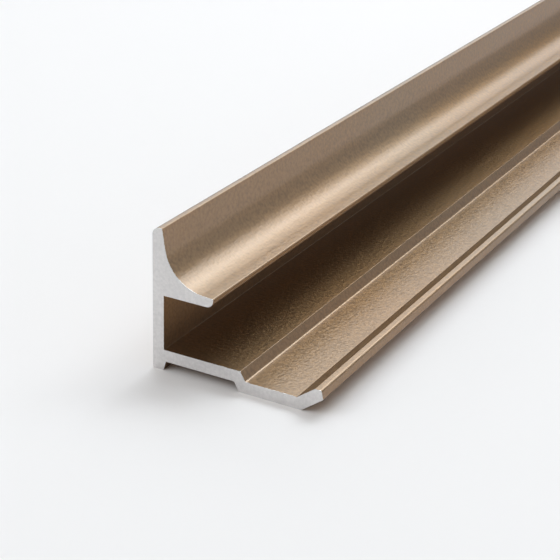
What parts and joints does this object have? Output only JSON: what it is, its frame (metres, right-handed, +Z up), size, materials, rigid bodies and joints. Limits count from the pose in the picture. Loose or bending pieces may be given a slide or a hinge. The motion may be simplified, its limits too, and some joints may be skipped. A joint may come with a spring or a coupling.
{
  "type": "aluminium extrusion profile",
  "caption": "Straight aluminium trim bar with a flat back, a cove on top, an open panel slot, a stepped floor and a turned-up front edge.",
  "frame": {"origin": "middle of the bar's bounding box, on the plane that the foot and the lip rest on", "axes": "+Y runs along the bar, +Z points up from the resting plane towards the top of the upright, and -X points out of the flat back"},
  "size_m": [0.0228, 1, 0.0181],
  "materials": {
    "anodised_aluminium": "satin champagne anodised"
  },
  "bodies": {
    "root": {"profile_bar": "anodised_aluminium"}
  },
  "joints": []
}
